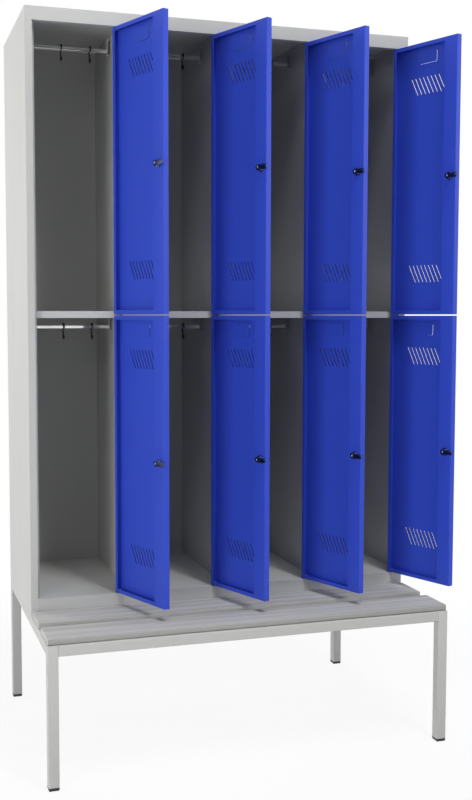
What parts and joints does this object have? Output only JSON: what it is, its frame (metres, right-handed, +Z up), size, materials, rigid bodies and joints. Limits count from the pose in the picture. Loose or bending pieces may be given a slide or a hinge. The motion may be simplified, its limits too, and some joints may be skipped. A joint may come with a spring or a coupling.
{
  "type": "locker with bench",
  "caption": "Tall steel locker with hinged doors over two tiers of compartments, standing on a tube frame with a slatted seat in front.",
  "frame": {"origin": "on the floor, under the middle of the box round the whole object with its doors standing open as in the rest pose", "axes": "+Z up, -Y towards the person in front of the doors, +X to that person's right"},
  "size_m": [1.26, 0.79, 2.153],
  "materials": {
    "paint_grey": "light grey powder coat on folded sheet steel and square tube",
    "paint_blue": "strong blue powder coat on folded sheet steel",
    "slat_wood": "pale grey-stained wood with rounded edges",
    "black_plastic": "black moulded plastic",
    "hook_wire": "bent steel wire coated black",
    "rail_steel": "bright folded rail with grey sheet brackets at its ends",
    "lock_metal": "bright plated metal"
  },
  "bodies": {
    "cabinet": {"side_panel_left": "paint_grey", "partition_1": "paint_grey", "partition_2": "paint_grey", "partition_3": "paint_grey", "side_panel_right": "paint_grey", "back_panel": "paint_grey", "top_panel": "paint_grey", "floor_pan": "paint_grey", "shelf_1": "paint_grey", "shelf_2": "paint_grey", "shelf_3": "paint_grey", "shelf_4": "paint_grey", "hanging_rail_upper_1": "rail_steel", "hanging_rail_upper_2": "rail_steel", "hanging_rail_upper_3": "rail_steel", "hanging_rail_upper_4": "rail_steel", "hanging_rail_lower_1": "rail_steel", "hanging_rail_lower_2": "rail_steel", "hanging_rail_lower_3": "rail_steel", "hanging_rail_lower_4": "rail_steel", "bench_frame": "paint_grey", "bench_slat_rear": "slat_wood", "bench_slat_front": "slat_wood", "foot_front_left": "black_plastic", "foot_front_right": "black_plastic", "foot_back_left": "black_plastic", "foot_back_right": "black_plastic"},
    "door_upper_1": {"door_upper_1": "paint_blue"},
    "cam_upper_1": {"cam_upper_1": "lock_metal"},
    "hook_upper_1_left": {"hook_upper_1_left": "hook_wire"},
    "hook_upper_1_right": {"hook_upper_1_right": "hook_wire"},
    "door_upper_2": {"door_upper_2": "paint_blue"},
    "cam_upper_2": {"cam_upper_2": "lock_metal"},
    "hook_upper_2_left": {"hook_upper_2_left": "hook_wire"},
    "hook_upper_2_right": {"hook_upper_2_right": "hook_wire"},
    "door_upper_3": {"door_upper_3": "paint_blue"},
    "cam_upper_3": {"cam_upper_3": "lock_metal"},
    "hook_upper_3_left": {"hook_upper_3_left": "hook_wire"},
    "hook_upper_3_right": {"hook_upper_3_right": "hook_wire"},
    "door_upper_4": {"door_upper_4": "paint_blue"},
    "cam_upper_4": {"cam_upper_4": "lock_metal"},
    "hook_upper_4_left": {"hook_upper_4_left": "hook_wire"},
    "hook_upper_4_right": {"hook_upper_4_right": "hook_wire"},
    "door_lower_1": {"door_lower_1": "paint_blue"},
    "cam_lower_1": {"cam_lower_1": "lock_metal"},
    "hook_lower_1_left": {"hook_lower_1_left": "hook_wire"},
    "hook_lower_1_right": {"hook_lower_1_right": "hook_wire"},
    "door_lower_2": {"door_lower_2": "paint_blue"},
    "cam_lower_2": {"cam_lower_2": "lock_metal"},
    "hook_lower_2_left": {"hook_lower_2_left": "hook_wire"},
    "hook_lower_2_right": {"hook_lower_2_right": "hook_wire"},
    "door_lower_3": {"door_lower_3": "paint_blue"},
    "cam_lower_3": {"cam_lower_3": "lock_metal"},
    "hook_lower_3_left": {"hook_lower_3_left": "hook_wire"},
    "hook_lower_3_right": {"hook_lower_3_right": "hook_wire"},
    "door_lower_4": {"door_lower_4": "paint_blue"},
    "cam_lower_4": {"cam_lower_4": "lock_metal"},
    "hook_lower_4_left": {"hook_lower_4_left": "hook_wire"},
    "hook_lower_4_right": {"hook_lower_4_right": "hook_wire"}
  },
  "joints": [
    {"name": "door_upper_1_hinge", "type": "hinge", "parent": "cabinet", "child": "door_upper_1", "pos_m": [-0.36098, -0.0895, 1.285], "axis": [0, 0, 1], "range_deg": [-110.5, 8]},
    {"name": "cam_upper_1_turn", "type": "hinge", "parent": "door_upper_1", "child": "cam_upper_1", "pos_m": [-0.27738, -0.29739, 1.6985], "axis": [0.9367, 0.3502, 0], "range_deg": [-90, 0]},
    {"name": "hook_upper_1_left_slide", "type": "slide", "parent": "cabinet", "child": "hook_upper_1_left", "axis": [1, 0, 0], "range_m": [-0.1315, 0.04]},
    {"name": "hook_upper_1_right_slide", "type": "slide", "parent": "cabinet", "child": "hook_upper_1_right", "axis": [1, 0, 0], "range_m": [-0.04, 0.049]},
    {"name": "door_upper_2_hinge", "type": "hinge", "parent": "cabinet", "child": "door_upper_2", "pos_m": [-0.06098, -0.0895, 1.285], "axis": [0, 0, 1], "range_deg": [-110.5, 8]},
    {"name": "cam_upper_2_turn", "type": "hinge", "parent": "door_upper_2", "child": "cam_upper_2", "pos_m": [0.02262, -0.29739, 1.6985], "axis": [0.9367, 0.3502, 0], "range_deg": [-90, 0]},
    {"name": "hook_upper_2_left_slide", "type": "slide", "parent": "cabinet", "child": "hook_upper_2_left", "axis": [1, 0, 0], "range_m": [-0.1315, 0.04]},
    {"name": "hook_upper_2_right_slide", "type": "slide", "parent": "cabinet", "child": "hook_upper_2_right", "axis": [1, 0, 0], "range_m": [-0.04, 0.049]},
    {"name": "door_upper_3_hinge", "type": "hinge", "parent": "cabinet", "child": "door_upper_3", "pos_m": [0.23902, -0.0895, 1.285], "axis": [0, 0, 1], "range_deg": [-110.5, 8]},
    {"name": "cam_upper_3_turn", "type": "hinge", "parent": "door_upper_3", "child": "cam_upper_3", "pos_m": [0.32262, -0.29739, 1.6985], "axis": [0.9367, 0.3502, 0], "range_deg": [-90, 0]},
    {"name": "hook_upper_3_left_slide", "type": "slide", "parent": "cabinet", "child": "hook_upper_3_left", "axis": [1, 0, 0], "range_m": [-0.1315, 0.04]},
    {"name": "hook_upper_3_right_slide", "type": "slide", "parent": "cabinet", "child": "hook_upper_3_right", "axis": [1, 0, 0], "range_m": [-0.04, 0.049]},
    {"name": "door_upper_4_hinge", "type": "hinge", "parent": "cabinet", "child": "door_upper_4", "pos_m": [0.53902, -0.0895, 1.285], "axis": [0, 0, 1], "range_deg": [-110.5, 8]},
    {"name": "cam_upper_4_turn", "type": "hinge", "parent": "door_upper_4", "child": "cam_upper_4", "pos_m": [0.62262, -0.29739, 1.6985], "axis": [0.9367, 0.3502, 0], "range_deg": [-90, 0]},
    {"name": "hook_upper_4_left_slide", "type": "slide", "parent": "cabinet", "child": "hook_upper_4_left", "axis": [1, 0, 0], "range_m": [-0.1315, 0.04]},
    {"name": "hook_upper_4_right_slide", "type": "slide", "parent": "cabinet", "child": "hook_upper_4_right", "axis": [1, 0, 0], "range_m": [-0.04, 0.049]},
    {"name": "door_lower_1_hinge", "type": "hinge", "parent": "cabinet", "child": "door_lower_1", "pos_m": [-0.36098, -0.0895, 0.454], "axis": [0, 0, 1], "range_deg": [-110.5, 8]},
    {"name": "cam_lower_1_turn", "type": "hinge", "parent": "door_lower_1", "child": "cam_lower_1", "pos_m": [-0.27738, -0.29739, 0.8675], "axis": [0.9367, 0.3502, 0], "range_deg": [-90, 0]},
    {"name": "hook_lower_1_left_slide", "type": "slide", "parent": "cabinet", "child": "hook_lower_1_left", "axis": [1, 0, 0], "range_m": [-0.1315, 0.04]},
    {"name": "hook_lower_1_right_slide", "type": "slide", "parent": "cabinet", "child": "hook_lower_1_right", "axis": [1, 0, 0], "range_m": [-0.04, 0.049]},
    {"name": "door_lower_2_hinge", "type": "hinge", "parent": "cabinet", "child": "door_lower_2", "pos_m": [-0.06098, -0.0895, 0.454], "axis": [0, 0, 1], "range_deg": [-110.5, 8]},
    {"name": "cam_lower_2_turn", "type": "hinge", "parent": "door_lower_2", "child": "cam_lower_2", "pos_m": [0.02262, -0.29739, 0.8675], "axis": [0.9367, 0.3502, 0], "range_deg": [-90, 0]},
    {"name": "hook_lower_2_left_slide", "type": "slide", "parent": "cabinet", "child": "hook_lower_2_left", "axis": [1, 0, 0], "range_m": [-0.1315, 0.04]},
    {"name": "hook_lower_2_right_slide", "type": "slide", "parent": "cabinet", "child": "hook_lower_2_right", "axis": [1, 0, 0], "range_m": [-0.04, 0.049]},
    {"name": "door_lower_3_hinge", "type": "hinge", "parent": "cabinet", "child": "door_lower_3", "pos_m": [0.23902, -0.0895, 0.454], "axis": [0, 0, 1], "range_deg": [-110.5, 8]},
    {"name": "cam_lower_3_turn", "type": "hinge", "parent": "door_lower_3", "child": "cam_lower_3", "pos_m": [0.32262, -0.29739, 0.8675], "axis": [0.9367, 0.3502, 0], "range_deg": [-90, 0]},
    {"name": "hook_lower_3_left_slide", "type": "slide", "parent": "cabinet", "child": "hook_lower_3_left", "axis": [1, 0, 0], "range_m": [-0.1315, 0.04]},
    {"name": "hook_lower_3_right_slide", "type": "slide", "parent": "cabinet", "child": "hook_lower_3_right", "axis": [1, 0, 0], "range_m": [-0.04, 0.049]},
    {"name": "door_lower_4_hinge", "type": "hinge", "parent": "cabinet", "child": "door_lower_4", "pos_m": [0.53902, -0.0895, 0.454], "axis": [0, 0, 1], "range_deg": [-110.5, 8]},
    {"name": "cam_lower_4_turn", "type": "hinge", "parent": "door_lower_4", "child": "cam_lower_4", "pos_m": [0.62262, -0.29739, 0.8675], "axis": [0.9367, 0.3502, 0], "range_deg": [-90, 0]},
    {"name": "hook_lower_4_left_slide", "type": "slide", "parent": "cabinet", "child": "hook_lower_4_left", "axis": [1, 0, 0], "range_m": [-0.1315, 0.04]},
    {"name": "hook_lower_4_right_slide", "type": "slide", "parent": "cabinet", "child": "hook_lower_4_right", "axis": [1, 0, 0], "range_m": [-0.04, 0.049]}
  ]
}
